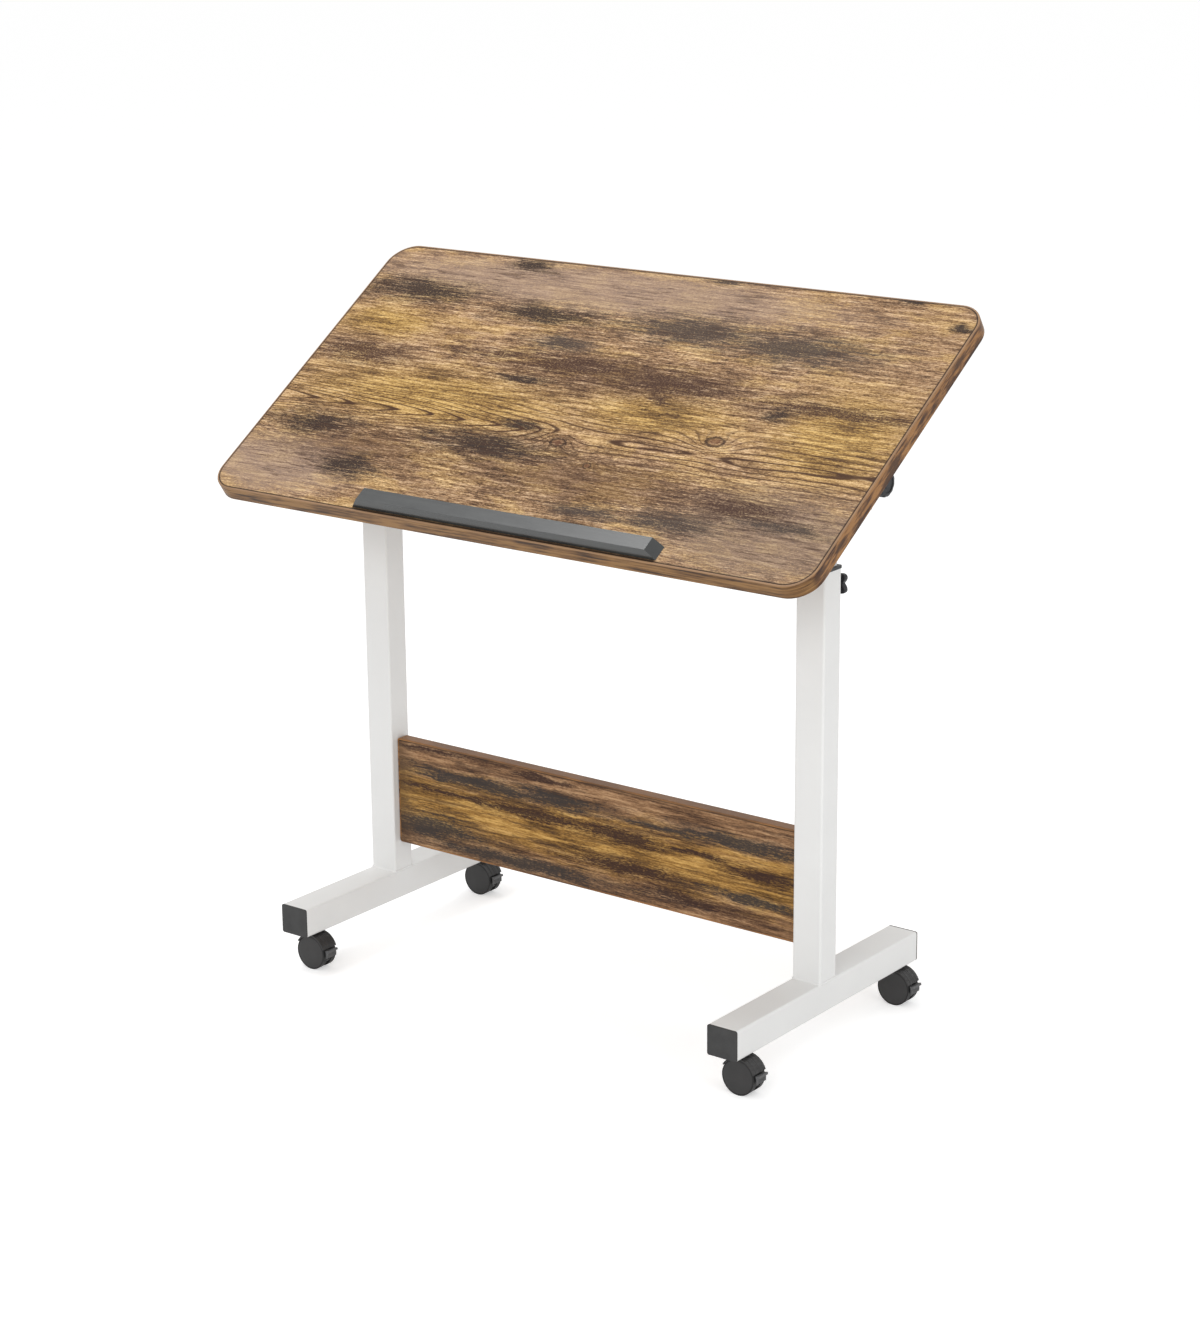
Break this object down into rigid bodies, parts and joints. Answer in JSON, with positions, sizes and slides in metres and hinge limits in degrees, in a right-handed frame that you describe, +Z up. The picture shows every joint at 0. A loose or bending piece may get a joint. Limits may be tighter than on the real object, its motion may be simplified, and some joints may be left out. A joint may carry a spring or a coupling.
{
  "type": "mobile standing desk",
  "caption": "Small desk on casters: a tilting wood-laminate top with a stop ledge, on telescopic white steel columns with a modesty panel.",
  "frame": {"origin": "on the floor, halfway between the two columns", "axes": "+X to the user's right, +Y from the user's side to the back, +Z up"},
  "size_m": [0.8, 0.3607, 0.7881],
  "materials": {
    "white_steel": "smooth satin powder coat",
    "black_plastic": "fine moulded texture",
    "ledge_plastic": "satin",
    "wheel_nylon": "smooth nylon",
    "wood_laminate": "rustic printed laminate, satin",
    "edge_banding": "wood-grain banding, satin",
    "zinc_steel": "zinc plated"
  },
  "bodies": {
    "base_frame": {"left_foot_tube": "white_steel", "right_foot_tube": "white_steel", "foot_end_caps": "black_plastic", "left_outer_column": "white_steel", "right_outer_column": "white_steel", "column_collars": "black_plastic", "modesty_panel": "wood_laminate", "panel_edge_band": "edge_banding", "panel_tabs": "white_steel", "panel_screws": "zinc_steel", "clamp_nuts": "white_steel", "caster_nuts": "zinc_steel", "caster_stems": "zinc_steel"},
    "lift_frame": {"left_inner_tube": "white_steel", "right_inner_tube": "white_steel", "tube_plugs": "black_plastic", "left_tilt_head": "white_steel", "right_tilt_head": "white_steel", "pivot_bolts": "zinc_steel", "head_nuts": "zinc_steel"},
    "desk": {"desktop": "wood_laminate", "desktop_edge_band": "edge_banding", "ledge": "ledge_plastic", "ledge_screws": "zinc_steel", "left_quadrant": "white_steel", "right_quadrant": "white_steel", "quadrant_screws": "zinc_steel"},
    "left_height_pad": {"left_clamp_pad": "black_plastic"},
    "left_height_clamp": {"left_height_knob": "black_plastic", "left_height_stud": "zinc_steel"},
    "left_tilt_spacer": {"left_tilt_washer": "zinc_steel"},
    "left_tilt_clamp": {"left_tilt_knob": "black_plastic", "left_tilt_stud": "zinc_steel"},
    "right_height_pad": {"right_clamp_pad": "black_plastic"},
    "right_height_clamp": {"right_height_knob": "black_plastic", "right_height_stud": "zinc_steel"},
    "right_tilt_spacer": {"right_tilt_washer": "zinc_steel"},
    "right_tilt_clamp": {"right_tilt_knob": "black_plastic", "right_tilt_stud": "zinc_steel"},
    "front_left_caster": {"front_left_caster_body": "black_plastic", "front_left_caster_axle": "zinc_steel"},
    "front_left_front_wheel": {"front_left_front_wheel": "wheel_nylon"},
    "front_left_rear_wheel": {"front_left_rear_wheel": "wheel_nylon"},
    "front_left_brake": {"front_left_brake_lever": "black_plastic"},
    "front_right_caster": {"front_right_caster_body": "black_plastic", "front_right_caster_axle": "zinc_steel"},
    "front_right_front_wheel": {"front_right_front_wheel": "wheel_nylon"},
    "front_right_rear_wheel": {"front_right_rear_wheel": "wheel_nylon"},
    "front_right_brake": {"front_right_brake_lever": "black_plastic"},
    "rear_left_caster": {"rear_left_caster_body": "black_plastic", "rear_left_caster_axle": "zinc_steel"},
    "rear_left_front_wheel": {"rear_left_front_wheel": "wheel_nylon"},
    "rear_left_rear_wheel": {"rear_left_rear_wheel": "wheel_nylon"},
    "rear_left_brake": {"rear_left_brake_lever": "black_plastic"},
    "rear_right_caster": {"rear_right_caster_body": "black_plastic", "rear_right_caster_axle": "zinc_steel"},
    "rear_right_front_wheel": {"rear_right_front_wheel": "wheel_nylon"},
    "rear_right_rear_wheel": {"rear_right_rear_wheel": "wheel_nylon"},
    "rear_right_brake": {"rear_right_brake_lever": "black_plastic"}
  },
  "joints": [
    {"name": "height_slide", "type": "slide", "parent": "base_frame", "child": "lift_frame", "axis": [0, 0, 1], "range_m": [0, 0.25]},
    {"name": "tilt_hinge", "type": "hinge", "parent": "lift_frame", "child": "desk", "pos_m": [0, 0, 0.629], "axis": [1, 0, 0], "range_deg": [-33.7, 11.3]},
    {"name": "left_height_pad_slide", "type": "slide", "parent": "base_frame", "child": "left_height_pad", "axis": [0, 1, 0], "range_m": [0, 0.0026]},
    {"name": "left_height_knob_turn", "type": "hinge", "parent": "left_height_pad", "child": "left_height_clamp", "pos_m": [-0.299, 0.0225, 0.51], "axis": [0, 1, 0], "range_deg": [0, 720]},
    {"name": "left_tilt_spacer_slide", "type": "slide", "parent": "lift_frame", "child": "left_tilt_spacer", "axis": [-1, 0, 0], "range_m": [0, 0.0026]},
    {"name": "left_tilt_knob_turn", "type": "hinge", "parent": "left_tilt_spacer", "child": "left_tilt_clamp", "pos_m": [-0.3219, 0.06712, 0.61301], "axis": [-1, 0, 0], "range_deg": [0, 720]},
    {"name": "right_height_pad_slide", "type": "slide", "parent": "base_frame", "child": "right_height_pad", "axis": [0, 1, 0], "range_m": [0, 0.0026]},
    {"name": "right_height_knob_turn", "type": "hinge", "parent": "right_height_pad", "child": "right_height_clamp", "pos_m": [0.299, 0.0225, 0.51], "axis": [0, 1, 0], "range_deg": [0, 720]},
    {"name": "right_tilt_spacer_slide", "type": "slide", "parent": "lift_frame", "child": "right_tilt_spacer", "axis": [1, 0, 0], "range_m": [0, 0.0026]},
    {"name": "right_tilt_knob_turn", "type": "hinge", "parent": "right_tilt_spacer", "child": "right_tilt_clamp", "pos_m": [0.3219, 0.06712, 0.61301], "axis": [1, 0, 0], "range_deg": [0, 720]},
    {"name": "front_left_swivel", "type": "hinge", "parent": "base_frame", "child": "front_left_caster", "pos_m": [-0.299, -0.147, 0.042], "axis": [0, 0, 1], "continuous": true},
    {"name": "front_left_front_wheel_spin", "type": "hinge", "parent": "front_left_caster", "child": "front_left_front_wheel", "pos_m": [-0.289, -0.147, 0.02], "axis": [0, 1, 0], "continuous": true},
    {"name": "front_left_rear_wheel_spin", "type": "hinge", "parent": "front_left_caster", "child": "front_left_rear_wheel", "pos_m": [-0.289, -0.147, 0.02], "axis": [0, 1, 0], "continuous": true},
    {"name": "front_left_brake_hinge", "type": "hinge", "parent": "front_left_caster", "child": "front_left_brake", "pos_m": [-0.27628, -0.147, 0.0227], "axis": [0, 1, 0], "range_deg": [0, 12]},
    {"name": "front_right_swivel", "type": "hinge", "parent": "base_frame", "child": "front_right_caster", "pos_m": [0.299, -0.147, 0.042], "axis": [0, 0, 1], "continuous": true},
    {"name": "front_right_front_wheel_spin", "type": "hinge", "parent": "front_right_caster", "child": "front_right_front_wheel", "pos_m": [0.309, -0.147, 0.02], "axis": [0, 1, 0], "continuous": true},
    {"name": "front_right_rear_wheel_spin", "type": "hinge", "parent": "front_right_caster", "child": "front_right_rear_wheel", "pos_m": [0.309, -0.147, 0.02], "axis": [0, 1, 0], "continuous": true},
    {"name": "front_right_brake_hinge", "type": "hinge", "parent": "front_right_caster", "child": "front_right_brake", "pos_m": [0.32172, -0.147, 0.0227], "axis": [0, 1, 0], "range_deg": [0, 12]},
    {"name": "rear_left_swivel", "type": "hinge", "parent": "base_frame", "child": "rear_left_caster", "pos_m": [-0.299, 0.155, 0.042], "axis": [0, 0, 1], "continuous": true},
    {"name": "rear_left_front_wheel_spin", "type": "hinge", "parent": "rear_left_caster", "child": "rear_left_front_wheel", "pos_m": [-0.289, 0.155, 0.02], "axis": [0, 1, 0], "continuous": true},
    {"name": "rear_left_rear_wheel_spin", "type": "hinge", "parent": "rear_left_caster", "child": "rear_left_rear_wheel", "pos_m": [-0.289, 0.155, 0.02], "axis": [0, 1, 0], "continuous": true},
    {"name": "rear_left_brake_hinge", "type": "hinge", "parent": "rear_left_caster", "child": "rear_left_brake", "pos_m": [-0.27628, 0.155, 0.0227], "axis": [0, 1, 0], "range_deg": [0, 12]},
    {"name": "rear_right_swivel", "type": "hinge", "parent": "base_frame", "child": "rear_right_caster", "pos_m": [0.299, 0.155, 0.042], "axis": [0, 0, 1], "continuous": true},
    {"name": "rear_right_front_wheel_spin", "type": "hinge", "parent": "rear_right_caster", "child": "rear_right_front_wheel", "pos_m": [0.309, 0.155, 0.02], "axis": [0, 1, 0], "continuous": true},
    {"name": "rear_right_rear_wheel_spin", "type": "hinge", "parent": "rear_right_caster", "child": "rear_right_rear_wheel", "pos_m": [0.309, 0.155, 0.02], "axis": [0, 1, 0], "continuous": true},
    {"name": "rear_right_brake_hinge", "type": "hinge", "parent": "rear_right_caster", "child": "rear_right_brake", "pos_m": [0.32172, 0.155, 0.0227], "axis": [0, 1, 0], "range_deg": [0, 12]}
  ],
  "couplings": [
    {"joint": "left_height_pad_slide", "follows": "left_height_knob_turn", "m_per_rad": 0.00019894},
    {"joint": "left_tilt_spacer_slide", "follows": "left_tilt_knob_turn", "m_per_rad": 0.00019894},
    {"joint": "right_height_pad_slide", "follows": "right_height_knob_turn", "m_per_rad": 0.00019894},
    {"joint": "right_tilt_spacer_slide", "follows": "right_tilt_knob_turn", "m_per_rad": 0.00019894}
  ]
}
